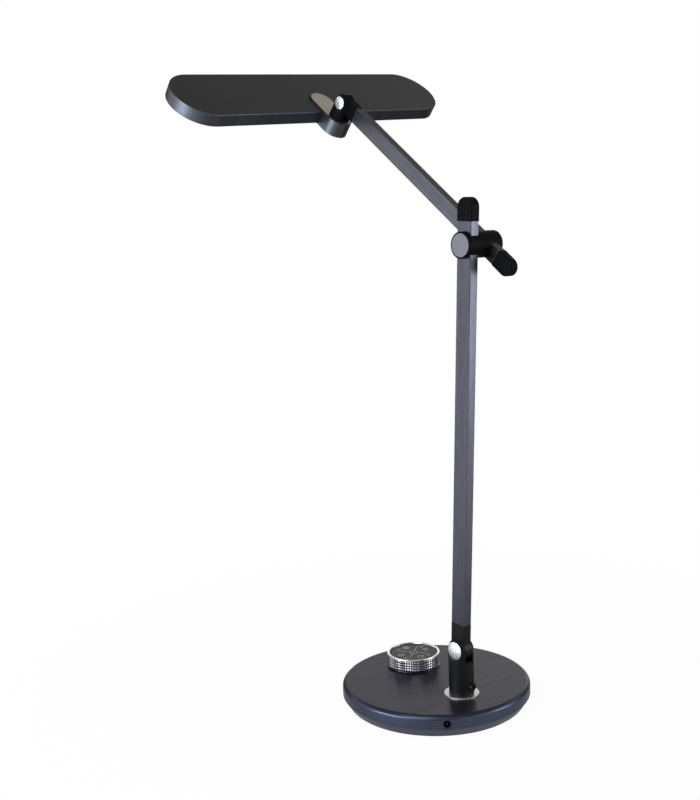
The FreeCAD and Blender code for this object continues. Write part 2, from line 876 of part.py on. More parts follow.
def upper_tube_insert():
    """Insert of the upper arm at the crossing joint."""
    return tube_insert(upper_depth, upper_width, upper_wall, bolt_radius + running_gap, -arm_spacing, 0)


def upper_end_cap():
    """Black cap on the tail of the upper arm."""
    cap = end_cap(upper_depth, upper_width, upper_cap_length, upper_wall, 0)
    cap.rotate(V(0, 0, 0), V(1, 0, 0), 180)
    cap.translate(V(-arm_spacing, 0, upper_low))
    return cap


def upper_knuckle():
    """Black end of the upper arm in the small fork, built from the pin towards the tube."""
    thickness = 2 * (head_slot - head_washer_thickness - slip_gap)
    neck = head_washer_radius + loose_gap
    pin_bore = head_pin_radius + running_gap
    body = knuckle(head_lobe_radius, thickness, neck, upper_knuckle_length, upper_depth,
                   upper_width, upper_bevel, upper_wall, pin_bore)
    body.rotate(V(0, 0, 0), V(1, 0, 0), 180)
    body.translate(V(-arm_spacing, 0, head_distance))
    return body


# Levels of the light head, down from the pin of the small post
panel_level = -head_pin_height
pod_top = panel_level + pod_proud
pod_low = pod_top - pod_height
pod_floor = pod_low + pod_wall
plate_level = pod_top - pod_plate_recess
pod_shelf = plate_level - pod_plate_thickness
pod_bearing_low = pod_shelf - pod_bearing_height
pod_plug_high = pod_low + pod_plug_thickness
stub_low = plate_level - head_stub_length
head_nut_top = pod_bearing_low - slip_gap - head_nut_washer
head_nut_low = head_nut_top - head_nut_thickness
nut_room = head_nut_flats / 2 / math.cos(math.pi / 6) + slip_gap
head_low = panel_level - head_thickness
head_ceiling = panel_level - head_top
led_level = head_ceiling - led_board_thickness
diffuser_low = head_low + diffuser_recess
diffuser_high = diffuser_low + diffuser_thickness
head_half = head_length / 2 - head_width / 2
pod_ends = ((0, 0), (0, -pod_reach))
head_ends = ((-head_half, -head_setback), (head_half, -head_setback))


def head_post():
    """Small forked post with a stub that turns in the pod."""
    body = fork(head_post_foot, head_post_radius, plate_level, 0, head_face, head_slot,
                head_cap_radius, head_lobe_radius)
    floor = plate_level + head_post_floor
    body = body.cut(block(-head_slot, head_slot, 0, head_post_foot, floor, 0))
    body = body.fuse(cylinder(head_stub_radius, stub_low, plate_level))
    body = body.cut(cross_cylinder(head_pin_radius, -head_post_radius, head_post_radius))
    return body.removeSplitter()


def head_post_washer():
    """Sprung washer under the pod's bearing."""
    high = head_nut_top + head_nut_washer
    return ring(head_nut_flats / 2, head_stub_radius + slip_gap, head_nut_top, high)


def head_post_nut():
    """Nut on the stub of the small post."""
    nut = hexagon(head_nut_flats, head_nut_low, head_nut_top)
    return nut.cut(cylinder(head_stub_radius, head_nut_low, head_nut_top))


def flange_screw_places():
    """Plan positions of the screws in the pod's flange."""
    reach = pod_half_width + pod_flange / 2
    far = [(reach * math.sin(math.radians(a)), -pod_reach - reach * math.cos(math.radians(a)))
           for a in flange_screw_angles]
    return far + [(-reach, -pod_reach / 2 - pod_flange), (reach, -pod_reach / 2 - pod_flange)]


def head_pod():
    """Long cup: a pillar with the bearing at the near end, a flange under the head's top."""
    body = capsule(pod_half_width, pod_ends[0], pod_ends[1], pod_low, pod_top)
    seat = capsule(pod_half_width - pod_rim, pod_ends[0], pod_ends[1], pod_shelf, pod_top)
    room = capsule(pod_half_width - pod_wall, pod_ends[0], pod_ends[1], pod_floor, pod_shelf)
    pillar = cylinder(pod_pillar_radius, pod_floor, pod_shelf)
    body = body.cut(seat).cut(room.cut(pillar))
    body = body.cut(cylinder(head_stub_radius + running_gap, pod_bearing_low, pod_shelf))
    body = body.cut(cylinder(nut_room, pod_low, pod_bearing_low))
    body = body.cut(cylinder(nut_room + pod_plug_rim, pod_low, pod_plug_high))
    flange_low = head_ceiling - pod_flange_thickness
    flange = capsule(pod_half_width + pod_flange, pod_ends[0], pod_ends[1], flange_low, head_ceiling)
    flange = flange.cut(capsule(pod_half_width - pod_wall, pod_ends[0], pod_ends[1], pod_low, pod_top))
    edge = head_width / 2 - head_setback - head_wall - loose_gap
    far = 2 * (pod_reach + pod_half_width + pod_flange)
    flange = flange.common(block(-far, far, -far, edge, pod_low, pod_top))
    for x, y in flange_screw_places():
        flange = flange.cut(cylinder(small_screw_radius, pod_low, pod_top, x, y))
    return body.fuse(flange).removeSplitter()


def pod_plate():
    """Satin cover plate of the pod, with a hole for the stub."""
    body = capsule(pod_half_width - pod_rim - slip_gap, pod_ends[0], pod_ends[1], pod_shelf, plate_level)
    return body.cut(cylinder(head_stub_radius + loose_gap, pod_shelf, plate_level))


def pod_plug():
    """Cap over the nut, flush with the underside of the pod."""
    return cylinder(nut_room + pod_plug_rim - slip_gap, pod_low, pod_plug_high)


def pod_gap(extra, low, high):
    """Room that the pod needs in a neighbouring piece."""
    return capsule(pod_half_width + extra, pod_ends[0], pod_ends[1], low, high)


def head_housing():
    """Long shell with round ends, open below and notched for the pod."""
    body = capsule(head_width / 2, head_ends[0], head_ends[1], head_low, panel_level)
    body = bevelled(body, head_edge, "Z", panel_level)
    room = capsule(head_width / 2 - head_wall, head_ends[0], head_ends[1], head_low, head_ceiling)
    body = body.cut(room)
    bite = head_ceiling + small_screw_bite
    for x, y in flange_screw_places() + board_screw_places():
        body = body.cut(cylinder(small_screw_radius, head_ceiling, bite, x, y))
    return body.cut(pod_gap(slip_gap, head_low - cut_past, panel_level + cut_past))


def board_screw_places():
    """Plan positions of the screws along the middle of the light board."""
    steps = [step + 1 for step in range(board_screw_pairs)]
    sides = [side * step * board_screw_pitch for step in steps for side in (-1, 1)]
    return [(x, -head_setback) for x in sides]


def led_board():
    """Metal-backed circuit board that carries the lights."""
    radius = head_width / 2 - led_board_margin
    body = capsule(radius, head_ends[0], head_ends[1], led_level, head_ceiling)
    for x, y in board_screw_places():
        body = body.cut(cylinder(small_screw_radius, led_level, head_ceiling, x, y))
    return body.cut(pod_gap(pod_flange + loose_gap, led_level - cut_past, head_ceiling + cut_past))


def leds():
    """Two rows of light emitters, left out where the pod is."""
    chips = []
    clear = pod_half_width + pod_flange + led_length
    for row in range(led_rows):
        y = -head_setback + (row - (led_rows - 1) / 2) * led_row_spacing
        for column in range(led_columns):
            x = (column - (led_columns - 1) / 2) * led_pitch
            over_pod = math.hypot(x, min(0, y + pod_reach)) < clear
            if not over_pod:
                half_x = led_length / 2
                half_y = led_width / 2
                low = led_level - led_height
                chips.append(block(x - half_x, x + half_x, y - half_y, y + half_y, low, led_level))
    return group(chips)


def reflector_frame():
    """White frame that lines the walls and holds the diffuser off the lights."""
    outer = head_width / 2 - head_wall - slip_gap
    body = capsule(outer, head_ends[0], head_ends[1], diffuser_high, head_ceiling)
    body = body.cut(capsule(outer - frame_wall, head_ends[0], head_ends[1], diffuser_high, head_ceiling))
    return body.cut(pod_gap(pod_flange + loose_gap, diffuser_high - cut_past, head_ceiling + cut_past))


def diffuser():
    """Milky sheet that closes the head below."""
    outer = head_width / 2 - head_wall - slip_gap
    body = capsule(outer, head_ends[0], head_ends[1], diffuser_low, diffuser_high)
    return body.cut(pod_gap(slip_gap, diffuser_low - cut_past, diffuser_high + cut_past))


def small_screws(places, seat):
    """Small screws up into the top of the head, heads under seat."""
    screws = []
    for x, y in places:
        head = cylinder(small_screw_head, seat - small_screw_head_height, seat, x, y)
        shank = cylinder(small_screw_radius, seat, head_ceiling + small_screw_bite, x, y)
        screws.append(head.fuse(shank))
    return group(screws)


# Every sub-part with the frame it is built in
pieces = {
    "base_cover": (base_cover(), base_frame),
    "base_weight": (base_weight(), base_frame),
    "bottom_plate": (bottom_plate(), base_frame),
    "base_screws": (base_screws(), base_frame),
    "foot_pad": (foot_pad(), base_frame),
    "dc_jack": (dc_jack(), jack_frame),
    "dc_jack_pin": (dc_jack_pin(), jack_frame),
    "control_board": (control_board(), base_frame),
    "board_standoffs": (board_standoffs(), base_frame),
    "board_parts": (board_parts(), base_frame),
    "knob_hub": (knob_hub(), base_frame),
    "hub_nut": (hub_nut(), base_frame),
    "touch_board": (touch_board(), base_frame),
    "touch_panel": (touch_panel(), base_frame),
    "swivel_collar": (swivel_collar(), base_frame),
    "swivel_bush": (swivel_bush(), base_frame),
    "knob_ring": (knob_ring(), base_frame),
    "encoder_magnet": (encoder_magnet(), base_frame),
    "post": (post(), swivel_frame),
    "post_spindle": (post_spindle(), swivel_frame),
    "spindle_washer": (spindle_washer(), swivel_frame),
    "spindle_nut": (spindle_nut(), swivel_frame),
    "post_clamp_screw": (post_clamp_screw(), swivel_frame),
    "lower_pivot_pin": (pivot_pin(pivot_pin_radius, pivot_face, pivot_height), swivel_frame),
    "lower_pivot_caps": (
        pivot_caps(pivot_cap_radius, pivot_cap_dome, pivot_face, pivot_height), swivel_frame),
    "lower_friction_washers": (
        friction_washers(friction_washer_radius, pivot_pin_radius, pivot_slot,
                         friction_washer_thickness, pivot_height), swivel_frame),
    "lower_knuckle": (lower_knuckle(), lower_frame),
    "lower_tube": (lower_tube(), lower_frame),
    "lower_end_cap": (lower_end_cap(), lower_frame),
    "lower_tube_insert": (lower_tube_insert(), lower_frame),
    "front_housing": (front_housing(), lower_frame),
    "joint_disc": (joint_disc(), lower_frame),
    "joint_bolt": (joint_bolt(), lower_frame),
    "joint_nut": (joint_nut(), lower_frame),
    "joint_spring": (joint_spring(), lower_frame),
    "rear_housing": (rear_housing(), upper_frame),
    "rear_disc": (rear_disc(), upper_frame),
    "joint_washer": (joint_washer(), upper_frame),
    "upper_tube": (upper_tube(), upper_frame),
    "upper_tube_insert": (upper_tube_insert(), upper_frame),
    "upper_end_cap": (upper_end_cap(), upper_frame),
    "upper_knuckle": (upper_knuckle(), upper_frame),
    "head_post": (head_post(), tilt_frame),
    "head_pivot_pin": (pivot_pin(head_pin_radius, head_face, 0), tilt_frame),
    "head_pivot_caps": (pivot_caps(head_cap_radius, head_cap_dome, head_face, 0), tilt_frame),
    "head_friction_washers": (
        friction_washers(head_washer_radius, head_pin_radius, head_slot, head_washer_thickness, 0),
        tilt_frame),
    "head_post_washer": (head_post_washer(), tilt_frame),
    "head_post_nut": (head_post_nut(), tilt_frame),
    "head_pod": (head_pod(), head_frame),
    "pod_plate": (pod_plate(), head_frame),
    "pod_plug": (pod_plug(), head_frame),
    "pod_screws": (small_screws(flange_screw_places(), head_ceiling - pod_flange_thickness), head_frame),
    "head_housing": (head_housing(), head_frame),
    "led_board": (led_board(), head_frame),
    "leds": (leds(), head_frame),
    "board_screws": (small_screws(board_screw_places(), led_level), head_frame),
    "reflector_frame": (reflector_frame(), head_frame),
    "diffuser": (diffuser(), head_frame),
}

os.makedirs("parts", exist_ok=True)
for name, (shape, frame) in pieces.items():
    placed = shape.copy()
    placed.Placement = frame.multiply(shape.Placement)
    placed.exportStep("parts/" + name + ".step")
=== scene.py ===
import json
import math

import bmesh
import bpy
from mathutils import Matrix, Vector


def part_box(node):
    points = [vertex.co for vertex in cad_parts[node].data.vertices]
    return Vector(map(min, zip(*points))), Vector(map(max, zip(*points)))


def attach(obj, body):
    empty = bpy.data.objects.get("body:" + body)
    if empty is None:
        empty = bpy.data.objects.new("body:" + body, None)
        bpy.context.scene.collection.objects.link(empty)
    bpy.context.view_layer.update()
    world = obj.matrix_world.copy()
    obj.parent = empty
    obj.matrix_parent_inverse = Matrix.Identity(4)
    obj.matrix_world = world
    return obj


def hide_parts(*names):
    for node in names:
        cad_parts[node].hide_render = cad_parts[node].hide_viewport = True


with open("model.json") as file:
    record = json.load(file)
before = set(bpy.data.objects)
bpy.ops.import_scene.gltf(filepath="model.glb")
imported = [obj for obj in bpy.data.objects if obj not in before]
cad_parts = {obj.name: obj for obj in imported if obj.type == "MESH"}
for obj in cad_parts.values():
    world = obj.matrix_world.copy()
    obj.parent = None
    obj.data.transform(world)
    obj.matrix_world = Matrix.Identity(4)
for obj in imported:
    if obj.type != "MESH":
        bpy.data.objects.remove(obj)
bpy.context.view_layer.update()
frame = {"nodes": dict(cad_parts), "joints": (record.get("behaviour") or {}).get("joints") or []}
nodes = frame["nodes"]
hinges = {joint["name"]: joint for joint in frame["joints"]}

# Camera. It stands behind the lamp on its right, a little below the light head, and is
# leaned by two degrees. The shift puts the lamp where the photograph has it.
camera_place = Vector((0.6872, 1.1005, 0.5613))
camera_heading = math.radians(151.797)
camera_dip = 0.19154
camera_lean = -0.03722
camera_lens = 52.376
film_height = 36.0
shift_across = -0.00586
shift_up = 0.0555

eye = bpy.data.cameras.new("photo_camera")
eye.sensor_fit = "VERTICAL"
eye.sensor_height = film_height
eye.lens = camera_lens
eye.shift_x = shift_across
eye.shift_y = shift_up
camera = bpy.data.objects.new("photo_camera", eye)
camera.matrix_world = (
    Matrix.Translation(camera_place)
    @ Matrix.Rotation(camera_heading, 4, "Z")
    @ Matrix.Rotation(math.pi / 2 - camera_dip, 4, "X")
    @ Matrix.Rotation(camera_lean, 4, "Z")
)
bpy.context.scene.collection.objects.link(camera)
bpy.context.scene.camera = camera
bpy.context.scene.view_settings.view_transform = "Standard"

# Studio. A white surround that the camera and the metal see. The metal sees it dimmer and
# warmer overhead, and dark behind the camera and at two of the lamp's sides, and the matt
# pieces get an even glow.
white_light = (1.0, 1.0, 1.0)
ceiling_light = (0.24, 0.22, 0.195)
room_light = (0.10, 0.10, 0.11)
ceiling_start = 0.40
ceiling_end = 0.66
# Each dim side has a heading, and how far along it the dark starts and is full.
dim_sides = (
    (Vector((0.45, 0.89, 0.0)), 0.84, 0.94),
    (Vector((0.1, -0.99, 0.0)), 0.88, 0.94),
    (Vector((-1.0, -0.05, 0.0)), 0.88, 0.96),
)
even_glow = 0.45


def add(tree, kind, **settings):
    """A new node of a kind, with its settings."""
    node = tree.nodes.new("ShaderNode" + kind)
    for key, value in settings.items():
        setattr(node, key, value)
    return node


def feed(tree, socket, value):
    """A number, a colour or another node's output into a socket."""
    if isinstance(value, bpy.types.NodeSocket):
        tree.links.new(value, socket)
    elif isinstance(value, tuple):
        socket.default_value = (*value, 1)
    else:
        socket.default_value = value


def combined(tree, operation, first, second):
    """Two values combined by one operation."""
    step = add(tree, "Math", operation=operation)
    feed(tree, step.inputs[0], first)
    feed(tree, step.inputs[1], second)
    return step.outputs[0]


def faded(tree, value, start, end, low=0, high=1):
    """A value that goes softly from low to high between two levels."""
    fade = add(tree, "MapRange", interpolation_type="SMOOTHSTEP")
    fade.inputs["From Min"].default_value = start
    fade.inputs["From Max"].default_value = end
    fade.inputs["To Min"].default_value = low
    fade.inputs["To Max"].default_value = high
    tree.links.new(value, fade.inputs["Value"])
    return fade.outputs["Result"]


def toward(tree, place, heading):
    """How far a place or a direction lies along a heading."""
    part = add(tree, "VectorMath", operation="DOT_PRODUCT")
    part.inputs[1].default_value = heading
    tree.links.new(place, part.inputs[0])
    return part.outputs["Value"]


def mixed(tree, value, dark, light):
    """A colour between two, each a colour or another node's output."""
    mix = add(tree, "Mix", data_type="RGBA")
    tree.links.new(value, mix.inputs["Factor"])
    ends = [socket for socket in mix.inputs if socket.type == "RGBA"]
    for socket, colour in zip(ends, (dark, light)):
        feed(tree, socket, colour)
    return [socket for socket in mix.outputs if socket.type == "RGBA"][0]


def seen_rays(tree):
    """One on the camera's rays, and one on those and on the rays of shine and glass."""
    path = add(tree, "LightPath")
    camera_ray = path.outputs["Is Camera Ray"]
    glossy_ray = path.outputs["Is Glossy Ray"]
    clear_ray = path.outputs["Is Transmission Ray"]
    bounced = combined(tree, "MAXIMUM", glossy_ray, clear_ray)
    return camera_ray, combined(tree, "MAXIMUM", camera_ray, bounced)


def choose(tree, output, value, first, second):
    """One shader or the other, along a value, into a new output."""
    choice = add(tree, "MixShader")
    tree.links.new(value, choice.inputs[0])
    tree.links.new(first.outputs[0], choice.inputs[1])
    tree.links.new(second.outputs[0], choice.inputs[2])
    tree.links.new(choice.outputs[0], add(tree, output).inputs["Surface"])


world = bpy.data.worlds.new("studio")
bpy.context.scene.world = world
world.use_nodes = True
sky = world.node_tree
sky.nodes.clear()
camera_ray, seen = seen_rays(sky)
unseen = combined(sky, "SUBTRACT", 1, camera_ray)
where = add(sky, "TexCoord").outputs["Generated"]
height = add(sky, "SeparateXYZ")
sky.links.new(where, height.inputs[0])
upward = faded(sky, height.outputs["Z"], ceiling_start, ceiling_end)
dimmest = 0
for heading, edge, core in dim_sides:
    aside = faded(sky, toward(sky, where, heading), edge, core)
    dimmest = combined(sky, "MAXIMUM", dimmest, aside)
dimmed = mixed(sky, combined(sky, "MULTIPLY", upward, unseen), white_light, ceiling_light)
darkened = mixed(sky, combined(sky, "MULTIPLY", dimmest, unseen), dimmed, room_light)
backdrop = add(sky, "Background")
feed(sky, backdrop.inputs["Color"], darkened)
glow = add(sky, "Background")
feed(sky, glow.inputs["Color"], white_light)
feed(sky, glow.inputs["Strength"], even_glow)
choose(sky, "OutputWorld", seen, glow, backdrop)

# Floor. A wide pale sheet that shows as white and takes a faint shadow from the base. The
# metal sees painted shade on it: dimmer close round the lamp and dim on the lamp's far side.
floor_half = 6.0
floor_tone = (0.92, 0.92, 0.93)
floor_white = 0.955
shadow_reach = 0.25
near_light = 0.36
near_reach = 0.20
far_reach = 0.85
dim_light = 0.13
dim_heading = Vector((-0.57, -0.82, 0.0))
dim_start = 0.05
dim_end = 0.35


def from_origin(tree, place):
    """How far a place lies from the origin."""
    span = add(tree, "VectorMath", operation="LENGTH")
    tree.links.new(place, span.inputs[0])
    return span.outputs["Value"]


bm = bmesh.new()
bmesh.ops.create_grid(bm, x_segments=1, y_segments=1, size=floor_half)
mesh = bpy.data.meshes.new("floor")
bm.to_mesh(mesh)
bm.free()
floor = bpy.data.objects.new("floor", mesh)
bpy.context.scene.collection.objects.link(floor)
sheet = bpy.data.materials.new("floor_sheet")
sheet.use_nodes = True
tree = sheet.node_tree
tree.nodes.clear()
camera_ray, seen = seen_rays(tree)
where = add(tree, "TexCoord").outputs["Object"]
reach = from_origin(tree, where)
# Painted shade in the floor's glow as the metal sees it: dim near the lamp and on its far side
near = faded(tree, reach, near_reach, far_reach, near_light, 1)
aside = faded(tree, toward(tree, where, dim_heading), dim_start, dim_end, 1, dim_light)
mirrored = combined(tree, "MINIMUM", near, aside)
lit = add(tree, "Emission")
feed(tree, lit.inputs["Strength"], combined(tree, "MAXIMUM", mirrored, camera_ray))
matt = add(tree, "BsdfDiffuse")
feed(tree, matt.inputs["Color"], floor_tone)
white_share = faded(tree, reach, shadow_reach, far_reach, floor_white, 1)
choose(tree, "OutputMaterial", combined(tree, "MULTIPLY", seen, white_share), matt, lit)
floor.data.materials.append(sheet)

# Lamps. A large soft panel above the camera's left, an upright strip at each side for long
# highlights on rounded ends and narrow faces, and two cards at the left, of which one faces
# the base and the low one looks up at the light head.
panel_light = (1.0, 1.0, 1.0)
strip_light = (0.84, 0.92, 1.0)
card_light = (0.90, 0.95, 1.0)
low_light = (0.80, 0.90, 1.0)
middle = (0, 0, 0.4)


def lamp(name, place, target, width, tall, watts, colour):
    """An oblong studio lamp that faces a target."""
    panel = bpy.data.lights.new(name, "AREA")
    panel.shape = "RECTANGLE"
    panel.size = width
    panel.size_y = tall
    panel.energy = watts
    panel.color = colour
    holder = bpy.data.objects.new(name, panel)
    aim = Vector(target) - Vector(place)
    turn = aim.to_track_quat("-Z", "Y").to_matrix().to_4x4()
    holder.matrix_world = Matrix.Translation(place) @ turn
    bpy.context.scene.collection.objects.link(holder)


lamp(
    "soft_panel", place=(1.9, 1.2, 2.2), target=middle, width=1.6, tall=1.6, watts=26,
    colour=panel_light,
)
lamp(
    "left_strip", place=(2.0, -0.4, 0.5), target=middle, width=0.35, tall=1.6, watts=9,
    colour=strip_light,
)
lamp(
    "left_card", place=(1.9, 0.1, 0.75), target=(0, 0, 0.05), width=1.2, tall=0.5, watts=9,
    colour=card_light,
)
lamp(
    "right_strip", place=(-1.22, 1.09, 0.5), target=(0, 0.06, 0.35), width=0.5, tall=1.0,
    watts=7.5, colour=card_light,
)
lamp(
    "low_card", place=(1.42, 0.1, 0.17), target=(0.2, -0.25, 0.68), width=0.9, tall=0.32,
    watts=7, colour=low_light,
)

# Base cover. A turned aluminium shell in dark grey: the top is brushed across the lamp, the
# bevelled rim is broken to a soft round, and the walls keep fine turning lines. The rim band
# is painted darker as shade, and the undercut is painted paler as the floor's reflection.
wall_dark = (0.100, 0.119, 0.184)
wall_light = (0.124, 0.145, 0.218)
# The rim band's tone is painted shade, darker than the wall.
rim_painted_shade = (0.062, 0.074, 0.112)
rim_depth = 0.0042
rim_blend = 0.001
# The undercut's tones are a painted reflection of the floor, paler than the wall.
under_reflection_dark = (0.158, 0.172, 0.230)
under_reflection_light = (0.192, 0.208, 0.272)
under_level = 0.0115
under_blend = 0.002
cover_top_dark = (0.062, 0.061, 0.078)
cover_top_light = (0.112, 0.110, 0.134)
cover_top_edge = 0.0001
cover_top_blend = 0.0003
cover_top_anisotropy = 0.85
cover_roughness = (0.32, 0.36)
stroke_size = (0.12, 0.0008, 1)
cloud_size = (0.16, 0.006, 1)
turning_size = (1, 1, 0.0003)
stroke_depth = 0.00002
rim_round = 0.0014
rim_steps = 5
rim_reach = 0.104
rim_band = 0.004
rim_angle = 0.5
touching = 0.00001
flat_angle = 0.005
cover_crease = math.radians(25)
noise_roughness = 0.6


def finish(name, metallic, roughness=0.5):
    """A new material with its node tree and its shader."""
    material = bpy.data.materials.new(name)
    material.use_nodes = True
    shader = material.node_tree.nodes["Principled BSDF"]
    shader.inputs["Metallic"].default_value = metallic
    shader.inputs["Roughness"].default_value = roughness
    return material, material.node_tree, shader


def grain(tree, size, detail=3.0, turn=(0, 0, 0), place=(0, 0, 0)):
    """Noise on the piece in spots of one size, or of a length along each turned axis."""
    where = add(tree, "TexCoord")
    fit = add(tree, "Mapping", vector_type="TEXTURE")
    fit.inputs["Location"].default_value = place
    fit.inputs["Rotation"].default_value = turn
    fit.inputs["Scale"].default_value = size if isinstance(size, tuple) else (size, size, size)
    noise = add(tree, "TexNoise")
    noise.inputs["Scale"].default_value = 1
    noise.inputs["Detail"].default_value = detail
    noise.inputs["Roughness"].default_value = noise_roughness
    tree.links.new(where.outputs["Object"], fit.inputs["Vector"])
    tree.links.new(fit.outputs["Vector"], noise.inputs["Vector"])
    return noise.outputs["Fac"]


def ranged(tree, value, low, high, start=0.3, end=0.7):
    """A value between two levels, such as a noise's, spread from low to high."""
    spread = add(tree, "MapRange")
    spread.inputs["From Min"].default_value = start
    spread.inputs["From Max"].default_value = end
    spread.inputs["To Min"].default_value = low
    spread.inputs["To Max"].default_value = high
    tree.links.new(value, spread.inputs["Value"])
    return spread.outputs["Result"]


def blended(tree, first, second, share=0.5):
    """Two noises in one value, of which the first has a share."""
    part = ranged(tree, first, 0, share)
    rest = ranged(tree, second, 0, 1 - share)
    return combined(tree, "ADD", part, rest)


def above(tree, level, blend):
    """One above a height on the piece, and nought below it."""
    where = add(tree, "TexCoord")
    split = add(tree, "SeparateXYZ")
    tree.links.new(where.outputs["Object"], split.inputs[0])
    return ranged(tree, split.outputs["Z"], 0, 1, level - blend, level)


def roughened(tree, shader, value, depth, strength):
    """Fine relief on the surface, of a depth in metres."""
    relief = add(tree, "Bump")
    relief.inputs["Strength"].default_value = strength
    relief.inputs["Distance"].default_value = depth
    tree.links.new(value, relief.inputs["Height"])
    tree.links.new(relief.outputs["Normal"], shader.inputs["Normal"])


def settle(bm, name, material, body):
    """The finished piece in the scene, riding on its body."""
    mesh = bpy.data.meshes.new(name)
    bm.to_mesh(mesh)
    bm.free()
    mesh.materials.append(material)
    piece = bpy.data.objects.new(name, mesh)
    bpy.context.scene.collection.objects.link(piece)
    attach(piece, body)
    return piece


cover_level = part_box("base_cover")[1].z
brushed, tree, shader = finish("base_brushed", metallic=1.0)
stroke = grain(tree, stroke_size)
cloud = grain(tree, cloud_size, detail=2)
turning = ranged(tree, grain(tree, turning_size, detail=2), 0, 1)
top_tone = mixed(tree, blended(tree, stroke, cloud), cover_top_dark, cover_top_light)
wall_tone = mixed(tree, turning, wall_dark, wall_light)
# Painted reflection on the undercut below, painted shade on the rim band above
under_reflection_tone = mixed(tree, turning, under_reflection_dark, under_reflection_light)
side_tone = mixed(tree, above(tree, under_level, under_blend), under_reflection_tone, wall_tone)
on_shaded_rim = above(tree, cover_level - rim_depth, rim_blend)
side_tone = mixed(tree, on_shaded_rim, side_tone, rim_painted_shade)
on_top = above(tree, cover_level - cover_top_edge, cover_top_blend)
feed(tree, shader.inputs["Base Color"], mixed(tree, on_top, side_tone, top_tone))
feed(tree, shader.inputs["Roughness"], ranged(tree, on_top, *cover_roughness, 0, 1))
feed(tree, shader.inputs["Anisotropic"], ranged(tree, on_top, 0, cover_top_anisotropy, 0, 1))
across = add(tree, "CombineXYZ")
across.inputs["Y"].default_value = 1
tree.links.new(across.outputs[0], shader.inputs["Tangent"])
roughened(tree, shader, stroke, depth=stroke_depth, strength=0.25)

bm = bmesh.new()
bm.from_mesh(nodes["base_cover"].data)
bmesh.ops.remove_doubles(bm, verts=bm.verts[:], dist=touching)
bmesh.ops.dissolve_limit(bm, angle_limit=flat_angle, verts=bm.verts[:], edges=bm.edges[:])
rims = []
for edge in bm.edges:
    start, end = [vertex.co for vertex in edge.verts]
    level = abs(start.z - end.z) < touching
    outer = min(start.xy.length, end.xy.length) > rim_reach
    high = start.z > cover_level - rim_band
    if level and outer and high and edge.calc_face_angle(0) > rim_angle:
        rims.append(edge)
bmesh.ops.bevel(
    bm, geom=rims, offset=rim_round, offset_type="OFFSET", segments=rim_steps, profile=0.5,
    affect="EDGES", material=-1,
)
for face in bm.faces:
    face.smooth = True
for edge in bm.edges:
    gentle = len(edge.link_faces) == 2 and edge.calc_face_angle() < cover_crease
    topmost = min(vertex.co.z for vertex in edge.verts) > cover_level - touching
    edge.smooth = gentle and not topmost
rounded = settle(bm, "rounded_cover", brushed, "base")
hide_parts("base_cover")

# Foot pad. A soft die-cut disc of black rubber glued under the base, with a fine leather
# grain and slightly worn patches.
rubber_dark = (0.014, 0.014, 0.014)
rubber_light = (0.035, 0.034, 0.033)
pebble_size = 0.0009
worn_size = 0.03


def toned(tree, shader, value, dark, light):
    """The piece's colour, which wanders between two tones along a noise."""
    colour = mixed(tree, ranged(tree, value, 0, 1), dark, light)
    feed(tree, shader.inputs["Base Color"], colour)


def dress(material, *names):
    """The material on these CAD pieces."""
    for name in names:
        for place in nodes[name].material_slots:
            place.material = material


rubber, tree, shader = finish("pad_rubber", metallic=0.0, roughness=0.8)
toned(tree, shader, grain(tree, worn_size, detail=2), rubber_dark, rubber_light)
roughened(tree, shader, grain(tree, pebble_size, detail=2), depth=0.0002, strength=0.6)
dress(rubber, "foot_pad")

# Base weight. A rough slab of grey cast iron inside the base, with the dark skin that the
# mould leaves.
iron_dark = (0.06, 0.06, 0.062)
iron_light = (0.15, 0.15, 0.155)
skin_size = 0.004

iron, tree, shader = finish("weight_iron", metallic=0.7, roughness=0.7)
skin = grain(tree, skin_size, detail=5)
toned(tree, shader, skin, iron_dark, iron_light)
roughened(tree, shader, skin, depth=0.0006, strength=0.7)
dress(iron, "base_weight")

# Steel parts. Pins, bolts, nuts, washers, screws, the joint's spring and the closing plate are
# plain steel with turning marks and a few darker stains. The knob's magnet is plated alike.
steel_dark = (0.33, 0.33, 0.34)
steel_light = (0.50, 0.50, 0.51)
mark_size = 0.0005
stain_size = 0.008
steel_roughness = (0.22, 0.42)

steel, tree, shader = finish("plain_steel", metallic=1.0)
stain = grain(tree, stain_size)
toned(tree, shader, stain, steel_dark, steel_light)
feed(tree, shader.inputs["Roughness"], ranged(tree, stain, *steel_roughness))
roughened(tree, shader, grain(tree, mark_size), depth=0.00004, strength=0.4)
dress(
    steel, "bottom_plate", "base_screws", "post_spindle", "spindle_washer", "spindle_nut",
    "post_clamp_screw", "lower_pivot_pin", "joint_bolt", "joint_nut", "joint_spring",
    "head_pivot_pin", "head_post_washer", "head_post_nut", "pod_screws", "board_screws",
    "encoder_magnet",
)

# Jack pin. The thin centre pin of the power socket, deep in its hole: brass under a plating
# with worn patches, painted dark as the shade deep in the hole.
# The pin's dark tones are painted shade of the hole.
pin_shade_dark = (0.06, 0.06, 0.065)
pin_shade_light = (0.13, 0.125, 0.12)
wear_size = 0.0004

shaded_pin, tree, shader = finish("shaded_pin_plating", metallic=1.0, roughness=0.5)
wear = grain(tree, wear_size)
toned(tree, shader, wear, pin_shade_dark, pin_shade_light)
roughened(tree, shader, wear, depth=0.00001, strength=0.3)
dress(shaded_pin, "dc_jack_pin")

# Circuit boards. Glass-fibre boards under a green lacquer, with paler tracks pressed through
# it. The parts soldered on the dimmer's board are lacquered with it.
lacquer_dark = (0.012, 0.07, 0.035)
lacquer_light = (0.03, 0.15, 0.07)
tracks_per_metre = 420

